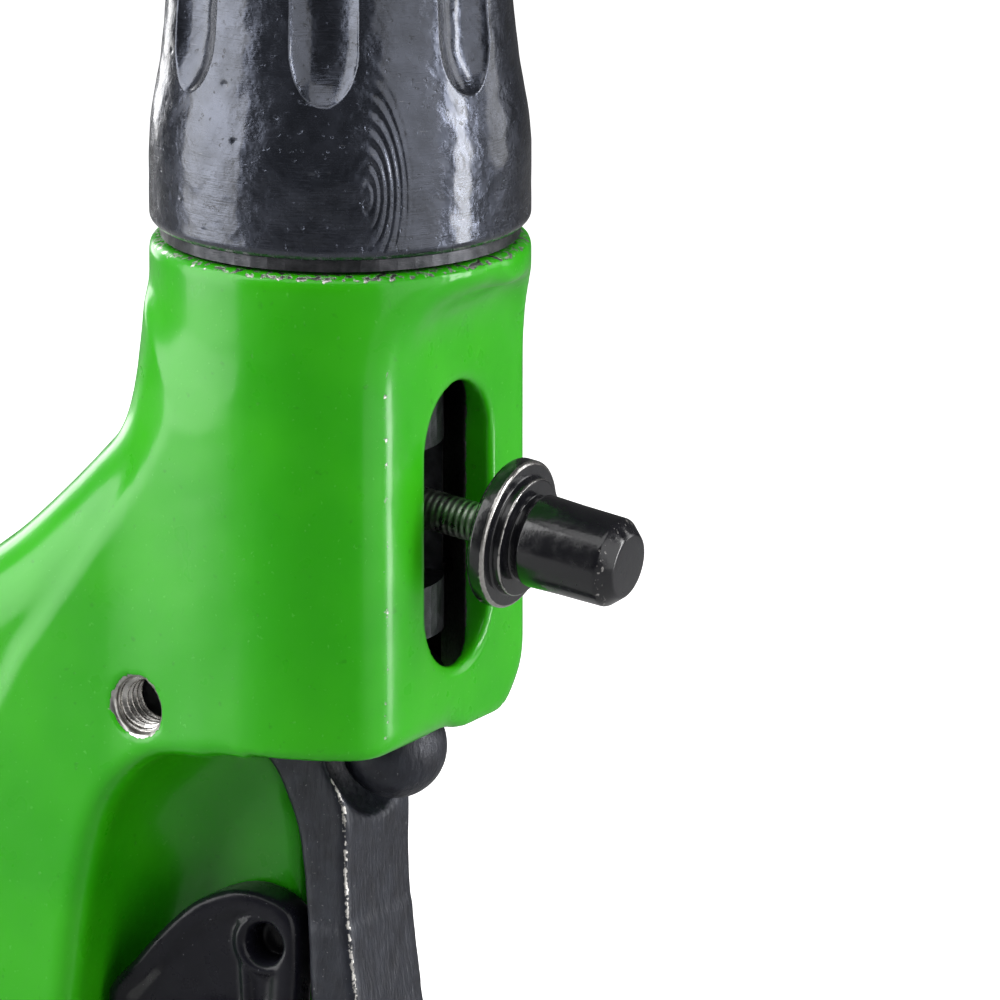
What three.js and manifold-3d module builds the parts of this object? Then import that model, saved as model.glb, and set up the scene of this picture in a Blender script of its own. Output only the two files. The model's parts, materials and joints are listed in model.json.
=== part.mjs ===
// Hand riveter, plier type: a cast body with a fixed handle, a forged lever, a draw tube that the
// lever pulls down, and the nose parts above it. Millimetres, +Z up with the nose at the top.
// Everything is drawn in head coordinates: the head's axis is X = Y = 0 and its rim is z = 0.
// The finished group is then moved so that its origin is the centre of the bottom of its box.
import * as THREE from 'three';
import { mergeVertices } from 'three/addons/utils/BufferGeometryUtils.js';
import Module from 'manifold-3d';

const wasm = await Module();
wasm.setup();

// ---- driving dimensions ----
const GAP = 0.3;

const HEAD_R = 16.1;
const HEAD_BOTTOM = -42.2;
const BORE_R = 10.3;
const FLAT_X = 11.5;
const FLAT_TOP = -4.2;
const FLAT_HALF = 12.6;
const FLAT_CORNER_R = 8;
const SLOT_HALF = 5.6;
const SLOT_TOP = -11.5;
const SLOT_BOTTOM = -36.1;
const FLAT_FLARE = 3;

const ARM_HALF_Y = 13;
const SPINE_EDGE = 8;
const SPINE_INSET = 6;
const WEB_HALF_Y = 2.4;
const CAVITY_HALF_Y = 6;
const POCKET_BOTTOM = -105;

const PIVOT = { x: -12, z: -39.5 };
const PIVOT_HOLE_R = 3.05;
const PIVOT_THREAD_R = 2.5;
const EYE_R = 5.2;
const BOLT_HEAD_R = 4.9;
const BOLT_HEAD_SEAT_Y = 9.8;
const COUNTERBORE_R = 5.2;

const LEVER_HALF_Y = 5.6;
const TOE = { x: 5.15, z: -43.9 };
const TOE_R = 4.5;
const TOE_RELIEF_R = 6.4;
const TOE_PIN = { x: 4.5, z: -39.6 };
const TOE_PIN_R = 1.5;
const TOE_LOBE_R = 3.4;
const TOE_LOBE_HALF_Y = 5.2;
const TOE_PIN_DRIFT = -2.45;
const TONGUE_HALF_Y = 3.4;

const TUBE_R = 8.7;
const TUBE_BORE_R = 6.4;
const TUBE_BOTTOM = -43;
const TUBE_TOP = -3;
const TUBE_FLOOR = -31;
const FORK_TOP = -34;
const FORK_HALF_Y = 5.95;
const WINDOW_HALF_Y = 5;
const WINDOW_TOP = -17.5;
const WINDOW_BOTTOM = -29.5;

const SLEEVE_BOTTOM = 1.6;
const SLEEVE_TOP = 42;
const SLEEVE_BORE_R = 9;
const SLEEVE_SPIGOT_R = 10;
const SLEEVE_SPIGOT_BOTTOM = -8;
const FLUTES = 7;
const FLUTE_PHASE = -14.2;
const FLUTE_R = 3.3;
const FLUTE_BOTTOM = 14.3;
const FLUTE_AT = 17.3;
const FLUTE_TILT = 2.6;
const FLUTE_NOSE = 5;

const PIN_DROOP = 7.75;
const PIN_FLANGE = { x: 17.3, z: -24 };
const PIN_STEM_R = 1.7;

const GRIP_TOP = -111;
const GRIP_BOTTOM = -186;
const HANDLE_GRIP_HALF_Y = 13.5;
const LEVER_GRIP_HALF_Y = 10.5;
const CORE_HALF_Y = 8;

const INSERT_NEAR_FACE = 7.2;
const INSERT_SCREW = { x: -14.6, z: -99.2 };
const SPARE_HEIGHTS = [-73, -82, -91];
const SPARE_SHANK_R = 2.3;

const JAW_CASE_R = 7.9;
const JAW_CASE_TOP = 26;
const JAWS = 3;
const NOSEPIECE_FACE = 9;
const NOSEPIECE_SHANK = 7;

// ---- materials ----
function finish(color, roughness, metalness) {
  return new THREE.MeshStandardMaterial({ color, roughness, metalness });
}

const greenPaint = finish(0x32a814, 0.25, 0);
const blackCasting = finish(0x24262b, 0.35, 0.5);
const forgedBlack = finish(0x32343e, 0.5, 0.5);
const blackPin = finish(0x17181c, 0.25, 0.4);
const darkSteel = finish(0x2b2d31, 0.45, 0.8);
const brightSteel = finish(0xa8abae, 0.3, 1);
const hardSteel = finish(0x7d8084, 0.35, 1);
const springSteel = finish(0x8f9296, 0.3, 1);
const glossPlastic = finish(0x15151b, 0.12, 0);
const gripRubber = finish(0x1d1e21, 0.7, 0);

// ---- geometry helpers ----
function solid(geometry) {
  const bare = geometry.clone();
  bare.deleteAttribute('normal');
  bare.deleteAttribute('uv');
  const merged = mergeVertices(bare, 1e-4);
  const vertProperties = new Float32Array(merged.attributes.position.array);
  const triVerts = new Uint32Array(merged.index.array);
  return new wasm.Manifold(new wasm.Mesh({ numProp: 3, vertProperties, triVerts }));
}

function geometryOf(manifold) {
  const mesh = manifold.getMesh();
  const geometry = new THREE.BufferGeometry();
  geometry.setAttribute('position', new THREE.BufferAttribute(mesh.vertProperties, 3));
  geometry.setIndex(new THREE.BufferAttribute(mesh.triVerts, 1));
  geometry.computeVertexNormals();
  return geometry;
}

function unite(...solids) {
  return solids.reduce((sum, part) => sum.add(part));
}

function cut(body, ...tools) {
  return tools.reduce((rest, tool) => rest.subtract(tool), body);
}

// A solid of revolution about +Z from [radius, z] pairs; it is closed onto the axis at both ends.
function turned(profile, segments = 40) {
  const closed = [[0, profile[0][1]], ...profile, [0, profile[profile.length - 1][1]]];
  const points = closed.map(([r, z]) => new THREE.Vector2(r, z));
  return solid(new THREE.LatheGeometry(points, segments).rotateX(Math.PI / 2));
}

function rodZ(r, z0, z1, segments = 40) {
  return turned([[r, z0], [r, z1]], segments);
}

function tubeZ(outer, inner, z0, z1, segments = 40) {
  return cut(rodZ(outer, z0, z1, segments), rodZ(inner, z0 - 1, z1 + 1, segments));
}

function rodY(r, at, y0, y1, segments = 32) {
  const length = y1 - y0;
  const geometry = new THREE.CylinderGeometry(r, r, length, segments);
  return solid(geometry.translate(at.x, (y0 + y1) / 2, at.z));
}

function rodX(r, x0, x1, z, segments = 32) {
  const geometry = new THREE.CylinderGeometry(r, r, x1 - x0, segments).rotateZ(Math.PI / 2);
  return solid(geometry.translate((x0 + x1) / 2, 0, z));
}

function block(x0, x1, y0, y1, z0, z1) {
  const geometry = new THREE.BoxGeometry(x1 - x0, y1 - y0, z1 - z0);
  return solid(geometry.translate((x0 + x1) / 2, (y0 + y1) / 2, (z0 + z1) / 2));
}

function shapeOf(points) {
  const shape = new THREE.Shape();
  shape.setFromPoints(points.map(([x, z]) => new THREE.Vector2(x, z)));
  return shape;
}

// Smooth open curve through a few hand-set points, sampled for use inside an outline.
function smooth(points, samples) {
  const curve = new THREE.SplineCurve(points.map(([x, z]) => new THREE.Vector2(x, z)));
  return curve.getPoints(samples).map((p) => [p.x, p.y]);
}

// An outline in the XZ plane given thickness along Y, from y0 to y1, with its edges rounded by
// edge along Y and inset by the same amount (or by edgeInset) in the outline's plane.
function plateXZ(outline, y0, y1, edge = 0, edgeInset = edge, steps = 2) {
  const geometry = new THREE.ExtrudeGeometry(shapeOf(outline), {
    depth: y1 - y0 - 2 * edge,
    bevelEnabled: edge > 0,
    bevelThickness: edge,
    bevelSize: edgeInset,
    bevelOffset: -edgeInset,
    bevelSegments: steps,
    curveSegments: 12,
    steps: 1,
  });
  geometry.translate(0, 0, -y1 + edge);
  return solid(geometry.rotateX(Math.PI / 2));
}

// Outline of a bar: a smooth centreline of [x, z, halfDepth] points, with flat ends.
function barOutline(stations, samples = 16) {
  const centre = new THREE.CatmullRomCurve3(stations.map(([x, z, half]) => new THREE.Vector3(x, z, half)));
  const left = [];
  const right = [];
  for (let i = 0; i <= samples; i += 1) {
    const p = centre.getPoint(i / samples);
    const t = centre.getTangent(i / samples);
    const length = Math.hypot(t.x, t.y);
    const nx = -t.y / length;
    const nz = t.x / length;
    left.push([p.x + nx * p.z, p.y + nz * p.z]);
    right.push([p.x - nx * p.z, p.y - nz * p.z]);
  }
  return [...left, ...right.reverse()];
}

function obroundXZ(x0, x1, z, r, y0, y1) {
  const a = { x: x0, z };
  const b = { x: x1, z };
  return unite(rodY(r, a, y0, y1, 24), rodY(r, b, y0, y1, 24), block(x0, x1, y0, y1, z - r, z + r));
}

function coil(radius, wire, z0, z1, turns) {
  const points = [];
  const stepsPerTurn = 10;
  for (let i = 0; i <= turns * stepsPerTurn; i += 1) {
    const angle = (i / stepsPerTurn) * 2 * Math.PI;
    const z = z0 + wire + (z1 - z0 - 2 * wire) * (i / (turns * stepsPerTurn));
    points.push(new THREE.Vector3(radius * Math.cos(angle), radius * Math.sin(angle), z));
  }
  const section = new THREE.Shape();
  section.absarc(0, 0, wire, 0, 2 * Math.PI);
  return new THREE.ExtrudeGeometry(section, {
    extrudePath: new THREE.CatmullRomCurve3(points),
    steps: turns * stepsPerTurn,
    curveSegments: 6,
    bevelEnabled: false,
  });
}

const tool = new THREE.Group();

function add(name, shape, material, parent = tool) {
  const geometry = shape.isBufferGeometry ? shape : geometryOf(shape);
  const mesh = new THREE.Mesh(geometry, material);
  mesh.name = name;
  parent.add(mesh);
  return mesh;
}

// ---- stations shared by the handle, the lever and their grips: [x, z, half depth] ----
const handleCore = [
  [-24.8, -107, 9], [-25.4, -114, 8.2], [-27.5, -135, 8], [-30.5, -160, 8], [-33, -184, 7.5],
];
const handleGripLine = [
  [-25.4, GRIP_TOP, 11.5], [-27.2, -130, 12], [-30.3, -158, 12], [-33.3, GRIP_BOTTOM, 11],
];
const leverLine = [
  [2.35, -66, 2.35], [4.2, -84, 4.2], [5.4, -104, 5.4], [6, -130, 6], [5.2, -158, 6], [3, -184, 5.6],
];
const leverGripLine = [[5.6, GRIP_TOP, 8.4], [6, -132, 9.2], [5.2, -158, 9.2], [2.8, GRIP_BOTTOM, 8.4]];

// ---- body casting: head, arm, web and handle core in one piece ----
function headSolid() {
  const rim = 0.8;
  const foot = 1.2;
  const profile = [
    [HEAD_R - foot, HEAD_BOTTOM],
    [HEAD_R, HEAD_BOTTOM + foot],
    [HEAD_R, -rim],
    [HEAD_R - rim, 0],
  ];
  return turned(profile, 64);
}

// The flat for the pin: an arched outline that flares out to the round head at its top.
function flatCutter() {
  const outline = new THREE.Shape();
  outline.moveTo(-FLAT_HALF, HEAD_BOTTOM - 12);
  outline.lineTo(FLAT_HALF, HEAD_BOTTOM - 12);
  outline.lineTo(FLAT_HALF, FLAT_TOP - FLAT_CORNER_R);
  outline.absarc(FLAT_HALF - FLAT_CORNER_R, FLAT_TOP - FLAT_CORNER_R, FLAT_CORNER_R, 0, Math.PI / 2);
  outline.lineTo(-FLAT_HALF + FLAT_CORNER_R, FLAT_TOP);
  outline.absarc(-FLAT_HALF + FLAT_CORNER_R, FLAT_TOP - FLAT_CORNER_R, FLAT_CORNER_R, Math.PI / 2, Math.PI);
  const geometry = new THREE.ExtrudeGeometry(outline, {
    depth: 6,
    bevelEnabled: true,
    bevelThickness: FLAT_FLARE,
    bevelSize: FLAT_FLARE,
    bevelOffset: 0,
    bevelSegments: 4,
    curveSegments: 10,
  });
  geometry.translate(0, 0, FLAT_FLARE);
  geometry.applyMatrix4(new THREE.Matrix4().set(0, 0, 1, FLAT_X, 1, 0, 0, 0, 0, 1, 0, 0, 0, 0, 0, 1));
  return solid(geometry);
}

// The arm is a round-backed spine with a flat-sided plate in front of it that ends in the web.
function armSolid() {
  const back = smooth([
    [-12.5, -6], [-14.2, -12], [-16.2, -15.6], [-19, -18.8], [-23, -22.9], [-27, -26.9], [-32.7, -31.6],
    [-37.2, -37.2], [-39.4, -45], [-39.4, -56], [-37.6, -76], [-36, -96], [-35.4, -109],
  ], 34);
  const spineFront = [[-15, -109], [-9, -80], [-6, -58], [-6, -42], [2, -30], [4, -6]];
  const spine = plateXZ([...back, ...spineFront], -ARM_HALF_Y, ARM_HALF_Y, SPINE_EDGE, SPINE_INSET, 5);
  const front = smooth([
    [-14, -109], [-10.8, -96], [-7, -84], [-3.4, -74], [-2.2, -64], [-2.7, -52.5], [-3.7, -48.5],
    [-5, -44.8],
  ], 16);
  const plateBack = [[-4.4, -25], [-4, -14], [-8, -14], [-24, -36.5], [-29, -46], [-28, -80], [-26, -109]];
  const plate = plateXZ([...front, ...plateBack], -ARM_HALF_Y, ARM_HALF_Y);
  return unite(spine, plate);
}

// The pocket on each side of the web, open towards the lever, with a wide fillet at its floor.
function pocketCutter(side) {
  const wall = smooth([
    [-1, -41.7], [-5.8, -41.9], [-9.7, -42.9], [-12.4, -44.9], [-14.9, -47.7], [-16.3, -50.4],
    [-17.2, -53.6], [-18.2, -58.4], [-18.9, -63.6], [-19.4, -68], [-20, -78], [-20.2, -92],
    [-18.8, -100.5], [-13, POCKET_BOTTOM],
  ], 39);
  const outline = [...wall, [14, POCKET_BOTTOM], [14, -30], [-1, -30]];
  const outer = ARM_HALF_Y + 12;
  const fillet = 8;
  const geometry = plateXZ(outline, WEB_HALF_Y, outer, fillet, 6, 4);
  return side > 0 ? geometry : geometry.mirror([0, 1, 0]);
}

function bodyCasting() {
  const pocketed = cut(armSolid(), pocketCutter(1), pocketCutter(-1));
  const core = plateXZ(barOutline(handleCore), -CORE_HALF_Y, CORE_HALF_Y, 2, 1);
  let body = unite(headSolid(), pocketed, core);
  body = cut(body, flatCutter(), rodZ(BORE_R, HEAD_BOTTOM - 1, 1, 48));
  const slot = unite(
    block(5, 20, -SLOT_HALF, SLOT_HALF, SLOT_BOTTOM + SLOT_HALF, SLOT_TOP - SLOT_HALF),
    rodX(SLOT_HALF, 5, 20, SLOT_TOP - SLOT_HALF),
    rodX(SLOT_HALF, 5, 20, SLOT_BOTTOM + SLOT_HALF),
  );
  const cavity = unite(
    rodY(EYE_R + 0.5, PIVOT, -CAVITY_HALF_Y, CAVITY_HALF_Y),
    block(PIVOT.x, 2, -CAVITY_HALF_Y, CAVITY_HALF_Y, PIVOT.z - EYE_R - 0.5, PIVOT.z + EYE_R + 2),
  );
  const pivotHoles = unite(
    rodY(PIVOT_THREAD_R, PIVOT, -20, 0, 24),
    rodY(PIVOT_HOLE_R, PIVOT, 0, 20, 24),
    rodY(COUNTERBORE_R, PIVOT, BOLT_HEAD_SEAT_Y, 20, 24),
  );
  body = cut(body, slot, cavity, pivotHoles);
  for (const z of SPARE_HEIGHTS) {
    body = cut(body, rodY(SPARE_SHANK_R + GAP, { x: spareX(z), z }, -4, 4, 20));
  }
  return cut(body, rodY(1.6, INSERT_SCREW, -4, 4, 16));
}

// ---- handle inserts, with the spare nosepieces kept in the near one ----
const spareX = (z) => -12.6 - 0.03 * (-74 - z);

function insertOutline() {
  const crown = smooth([
    [-18.6, -70], [-18.5, -66.7], [-16.2, -63.9], [-13.6, -60.9], [-10.9, -58.4], [-8.55, -57.2],
    [-6.6, -56.7], [-4.6, -56.8], [-2.65, -57.5], [-1.35, -59.1], [-1.2, -63],
  ], 24);
  const front = smooth([[-1.5, -67], [-2.8, -76], [-6.2, -87], [-9.4, -95], [-12.4, -101]], 8);
  const wall = smooth([[-15.6, -102.4], [-17.8, -98.6], [-18.9, -92], [-18.9, -80]], 6);
  return [...crown, ...front, ...wall];
}

// The insert fills the pocket's floor, and its outline is cut back where the casting is.
function handleInsert(side) {
  const plate = plateXZ(insertOutline(), WEB_HALF_Y + GAP, INSERT_NEAR_FACE, 1.2, 1, 2);
  const screwHole = rodY(1.6, INSERT_SCREW, 0, 9, 16);
  if (side > 0) {
    return cut(plate, pocketNeighbour(side), screwHole);
  }
  const shankHoles = SPARE_HEIGHTS.map((z) => rodY(SPARE_SHANK_R + 2 * GAP, { x: spareX(z), z }, -9, 0, 20));
  return cut(plate.mirror([0, 1, 0]), pocketNeighbour(side), screwHole.mirror([0, 1, 0]), ...shankHoles);
}

// What the casting leaves of the pocket's outer wall, grown by the usual gap.
function pocketNeighbour(side) {
  const shifted = pocketCutter(side).translate([GAP + 0.1, 0, 0]);
  const lifted = side > 0 ? shifted.translate([0, GAP, 0]) : shifted.translate([0, -GAP, 0]);
  return cut(armSolid(), lifted);
}

// ---- forged lever ----
function leverSolid() {
  const back = smooth([
    [-15.6, -43.4], [-12, -44.7], [-7.6, -44.3], [-4.3, -45], [-2.2, -48.4], [-1.1, -52], [-0.5, -58],
    [0, -66],
  ], 14);
  const front = smooth([[4.7, -66], [3.9, -59.6], [3.6, -54.2], [3.5, -48.6], [1.4, -43.6], [0.6, -40]], 10);
  const shank = plateXZ([...back, ...front, [-6, -35.4], [-12, -34.3]], -LEVER_HALF_Y, LEVER_HALF_Y, 0.5);
  const relief = solid(new THREE.SphereGeometry(TOE_RELIEF_R, 24, 16).translate(TOE.x, 0, TOE.z));
  const arm = plateXZ(barOutline(leverLine), -LEVER_HALF_Y, LEVER_HALF_Y, 0.5);
  const eye = rodY(EYE_R, PIVOT, -LEVER_HALF_Y, LEVER_HALF_Y);
  const tongue = plateXZ([[-8, -42.8], [TOE.x, -45], [7.4, -42], [TOE_PIN.x, -36.4], [-8, -35.6]],
    -TONGUE_HALF_Y, TONGUE_HALF_Y);
  const lobe = rodY(TOE_LOBE_R, TOE_PIN, -TOE_LOBE_HALF_Y, TOE_LOBE_HALF_Y);
  const toe = solid(new THREE.SphereGeometry(TOE_R, 28, 20).translate(TOE.x, 0, TOE.z));
  const forged = unite(cut(shank, relief), arm, eye, tongue, lobe, toe);
  return cut(
    forged,
    rodY(PIVOT_HOLE_R, PIVOT, -8, 8, 24),
    rodY(TOE_PIN_R + GAP, TOE_PIN, -8, 8, 20),
  );
}

function pivotBolt() {
  const reach = ARM_HALF_Y - GAP;
  const head = rodY(BOLT_HEAD_R, PIVOT, BOLT_HEAD_SEAT_Y + GAP, reach, 28);
  const shoulder = rodY(PIVOT_HOLE_R - GAP, PIVOT, -5.9, 11, 24);
  const thread = rodY(PIVOT_THREAD_R - GAP, PIVOT, -9.4, -5, 20);
  const socket = solid(new THREE.CylinderGeometry(2.4, 2.4, 4, 6).translate(PIVOT.x, reach, PIVOT.z));
  return cut(unite(head, shoulder, thread), socket);
}

// ---- draw tube: open fork below, window for the pin, plain tube above ----
function drawTube() {
  const blank = rodZ(TUBE_R, TUBE_BOTTOM, TUBE_TOP, 48);
  const inside = rodZ(TUBE_BORE_R, TUBE_FLOOR, TUBE_TOP + 1, 40);
  const fork = block(-12, 12, -FORK_HALF_Y, FORK_HALF_Y, TUBE_BOTTOM - 1, FORK_TOP);
  const guideHole = rodZ(2.2, FORK_TOP - 1, TUBE_FLOOR + 1, 20);
  const pinSlotBack = TOE_PIN.x + TOE_PIN_DRIFT - 0.1;
  const pinSlot = obroundXZ(pinSlotBack, TOE_PIN.x + 0.4, TOE_PIN.z + 0.1, TOE_PIN_R + 0.5, -12, 12);
  const window = block(3, 12, -WINDOW_HALF_Y, WINDOW_HALF_Y, WINDOW_BOTTOM, WINDOW_TOP);
  return cut(blank, inside, fork, guideHole, pinSlot, window);
}

function mandrelGuide() {
  const tube = rodZ(3, TUBE_FLOOR + GAP, -8.8, 28);
  const flange = rodZ(5.2, -9.8, -8.8, 28);
  return cut(unite(tube, flange), rodZ(2, TUBE_FLOOR - 1, -7, 20));
}

// ---- nose: jaw case, jaws, pusher, spring, sleeve, ring, nosepiece ----
const CONE_START = { r: 5.5, z: 12 };
const CONE_END = { r: 3, z: 25 };

function coneRadius(z) {
  const t = (z - CONE_START.z) / (CONE_END.z - CONE_START.z);
  return CONE_START.r + t * (CONE_END.r - CONE_START.r);
}

function jawCase() {
  const seat = TUBE_TOP + GAP;
  const skin = [[6.1, -10], [6.1, seat], [JAW_CASE_R, seat], [JAW_CASE_R, 22], [6.4, JAW_CASE_TOP]];
  const { r: wide, z: coneBottom } = CONE_START;
  const { r: narrow, z: coneTop } = CONE_END;
  const bore = [[wide, -11], [wide, coneBottom], [narrow, coneTop], [narrow, JAW_CASE_TOP + 1]];
  return cut(turned(skin, 40), turned(bore, 32));
}

function jaw(index, count) {
  const low = 13.5;
  const high = 23.5;
  const whole = turned([[coneRadius(low) - GAP, low], [coneRadius(high) - GAP, high]], 36);
  const start = (index / count) * 2 * Math.PI;
  const wedge = new THREE.Shape();
  const spread = Math.PI / count;
  wedge.moveTo(0, 0);
  wedge.lineTo(20 * Math.cos(start - spread), 20 * Math.sin(start - spread));
  wedge.lineTo(20 * Math.cos(start), 20 * Math.sin(start));
  wedge.lineTo(20 * Math.cos(start + spread), 20 * Math.sin(start + spread));
  const sector = new THREE.ExtrudeGeometry(wedge, { depth: 20, bevelEnabled: false });
  sector.translate(0.45 * Math.cos(start), 0.45 * Math.sin(start), 8);
  return cut(whole.intersect(solid(sector)), rodZ(1.3, 8, 30, 20));
}

function jawPusher() {
  const body = turned([[3.2, -2], [3.2, 6.4], [5.1, 6.4], [5.1, 11.4], [3.4, 13.2]], 28);
  return cut(body, rodZ(1.8, -3, 14, 20));
}

function fluteCutter(index) {
  const nose = [];
  for (let i = 1; i <= 5; i += 1) {
    const angle = (i / 5) * (Math.PI / 2);
    nose.push([FLUTE_R * Math.sin(angle), FLUTE_BOTTOM + FLUTE_NOSE * (1 - Math.cos(angle))]);
  }
  const bullet = turned([...nose, [FLUTE_R, 36], [FLUTE_R * 0.6, 39]], 20);
  const angle = FLUTE_PHASE + (index * 360) / FLUTES;
  return bullet.rotate([0, -FLUTE_TILT, 0]).translate([FLUTE_AT, 0, 0]).rotate([0, 0, angle]);
}

function noseSleeve() {
  const skin = turned([
    [SLEEVE_SPIGOT_R, SLEEVE_SPIGOT_BOTTOM], [SLEEVE_SPIGOT_R, SLEEVE_BOTTOM], [15.3, SLEEVE_BOTTOM],
    [HEAD_R, 2.4], [HEAD_R, 8], [15.9, 10.7], [15.1, 15], [14.6, 20.2], [14, 28], [13.2, 34],
    [11.6, 38.6], [8.8, SLEEVE_TOP],
  ], 60);
  const bores = unite(
    rodZ(SLEEVE_BORE_R, SLEEVE_SPIGOT_BOTTOM - 1, 36, 40),
    rodZ(4.7, 35, SLEEVE_TOP + 1, 28),
  );
  const flutes = Array.from({ length: FLUTES }, (_, i) => fluteCutter(i));
  return cut(skin, bores, ...flutes);
}

// A nosepiece stands on z = 0 with its threaded shank below and its rivet face at z = faceZ.
function nosepieceGeometry(faceZ, tipR, hexR, boreR, shank) {
  const prism = new THREE.CylinderGeometry(hexR, hexR, 3.6, 6).rotateX(Math.PI / 2);
  const hex = solid(prism.translate(0, 0, 1.8));
  const tip = turned([[tipR + 1, 3], [tipR + 1, faceZ * 0.55], [tipR, faceZ]], 28);
  const stem = rodZ(shank.r, -shank.length, 1, 28);
  return cut(unite(hex, tip, stem), rodZ(boreR, -shank.length - 1, faceZ + 1, 20));
}

// ---- finger pin: stem and knob on one drooping axis, drawn along +Z then laid over ----
function pinKnob() {
  const profile = [
    [6.1, -1.7], [6.4, -1.4], [6.4, -0.2], [6.2, 0], [5.1, 0], [5.1, 0.9], [3.6, 0.9], [3.6, 1.6],
    [4, 1.8], [3.85, 9.2], [2.75, 10.5],
  ];
  return cut(turned(profile, 36), rodZ(PIN_STEM_R + GAP, -3, 6, 20));
}

const drawnPin = new THREE.Group();
drawnPin.position.set(PIN_FLANGE.x, 0, PIN_FLANGE.z);
drawnPin.rotation.y = THREE.MathUtils.degToRad(90 + PIN_DROOP);

// ---- grips ----
function grip(line, halfY, core, coreHalfY) {
  const outer = plateXZ(barOutline(line), -halfY, halfY, 4, 3.4, 3);
  const hollow = plateXZ(barOutline(core), -coreHalfY - GAP, coreHalfY + GAP);
  return cut(outer, hollow);
}

const grown = (line) => line.map(([x, z, half]) => [x, z, half + GAP]);

// ---- assembly ----
add('body_casting', bodyCasting(), greenPaint);
add('handle_insert_near', handleInsert(-1), glossPlastic);
add('handle_insert_far', handleInsert(1), glossPlastic);

function insertScrew(side) {
  const { x, z } = INSERT_SCREW;
  const seat = INSERT_NEAR_FACE + GAP;
  const shank = rodY(1.3, INSERT_SCREW, GAP, seat + 0.5, 16);
  const head = rodY(2.4, INSERT_SCREW, seat, seat + 1.5, 24);
  const slot = block(x - 3, x + 3, seat + 0.9, seat + 3, z - 0.35, z + 0.35);
  const screw = cut(unite(shank, head), slot);
  return side > 0 ? screw : screw.mirror([0, 1, 0]);
}

add('insert_screw_near', insertScrew(-1), brightSteel);
add('insert_screw_far', insertScrew(1), brightSteel);

SPARE_HEIGHTS.forEach((z, index) => {
  const shank = { r: SPARE_SHANK_R, length: 7 };
  const spare = nosepieceGeometry(6.4 - index * 0.4, 2.6, 4.3, 1.1 + index * 0.3, shank);
  const mesh = add(`spare_nosepiece_${index + 1}`, spare, brightSteel);
  mesh.rotation.x = Math.PI / 2;
  mesh.position.set(spareX(z), -INSERT_NEAR_FACE - GAP, z);
});

add('handle_grip', grip(handleGripLine, HANDLE_GRIP_HALF_Y, grown(handleCore), CORE_HALF_Y), gripRubber);
add('lever', leverSolid(), forgedBlack);
add('lever_grip', grip(leverGripLine, LEVER_GRIP_HALF_Y, grown(leverLine), LEVER_HALF_Y), gripRubber);
add('lever_pivot_bolt', pivotBolt(), darkSteel);
add('toe_pin', rodY(TOE_PIN_R, TOE_PIN, -7, 7, 20), hardSteel);
add('draw_tube', drawTube(), darkSteel);
add('mandrel_guide', mandrelGuide(), hardSteel);
add('jaw_case', jawCase(), hardSteel);
for (let i = 0; i < JAWS; i += 1) {
  add(`jaw_${i + 1}`, jaw(i, JAWS), hardSteel);
}
add('jaw_pusher', jawPusher(), hardSteel);
add('pusher_spring', coil(4.3, 0.55, -8.5, 6.1, 6), springSteel);
add('head_ring', tubeZ(15.2, BORE_R, GAP, SLEEVE_BOTTOM - GAP, 60), darkSteel);
add('nose_sleeve', noseSleeve(), blackCasting);
const nosepieceShank = { r: 4.4, length: NOSEPIECE_SHANK };
const nosepieceShape = nosepieceGeometry(NOSEPIECE_FACE, 3.6, 6.8, 1.7, nosepieceShank);
const nosepiece = add('nosepiece', nosepieceShape, brightSteel);
nosepiece.position.z = SLEEVE_TOP + GAP;

tool.add(drawnPin);
add('pin_stem', rodZ(PIN_STEM_R, -10.2, 5.6, 20), brightSteel, drawnPin);
add('pin_knob', pinKnob(), blackPin, drawnPin);

// ---- origin: centre of the bottom of the box ----
const hand_riveter = new THREE.Group();
hand_riveter.add(tool);
hand_riveter.updateMatrixWorld(true);
const bounds = new THREE.Box3().setFromObject(tool, true);
tool.position.set(-(bounds.min.x + bounds.max.x) / 2, 0, -bounds.min.z);
hand_riveter.updateMatrixWorld(true);

export default hand_riveter;
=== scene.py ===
"""Looks of the hand riveter: fine meshes for the visible parts, and procedural finishes for all of them."""

import json
import math

import bpy
import numpy as np
from mathutils import Matrix, Vector


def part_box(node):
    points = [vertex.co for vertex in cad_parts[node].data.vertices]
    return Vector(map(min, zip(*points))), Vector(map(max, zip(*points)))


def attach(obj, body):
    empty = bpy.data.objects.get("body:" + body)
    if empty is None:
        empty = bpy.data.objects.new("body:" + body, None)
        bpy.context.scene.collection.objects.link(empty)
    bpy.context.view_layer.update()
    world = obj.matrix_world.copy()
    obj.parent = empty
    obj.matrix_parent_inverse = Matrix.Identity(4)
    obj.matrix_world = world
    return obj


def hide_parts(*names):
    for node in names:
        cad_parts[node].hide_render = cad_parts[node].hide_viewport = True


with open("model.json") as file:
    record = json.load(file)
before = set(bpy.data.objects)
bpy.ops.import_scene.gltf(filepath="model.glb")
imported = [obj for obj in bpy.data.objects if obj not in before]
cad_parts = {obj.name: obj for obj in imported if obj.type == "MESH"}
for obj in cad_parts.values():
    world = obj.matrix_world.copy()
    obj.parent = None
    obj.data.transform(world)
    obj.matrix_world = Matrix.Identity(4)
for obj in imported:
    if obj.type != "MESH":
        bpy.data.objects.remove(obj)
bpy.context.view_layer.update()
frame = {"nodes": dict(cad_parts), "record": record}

# Shapes are drawn in millimetres in head coordinates: the head's axis is x = y = 0 and its rim is z = 0.
MM = 0.001
RING_LIFT = 0.3
ring_low, ring_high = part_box("head_ring")
HEAD = Vector(((ring_low.x + ring_high.x) / 2, 0, ring_low.z - RING_LIFT * MM))


def metres(points):
    return np.asarray(points, float) * MM + np.array(HEAD)


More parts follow.
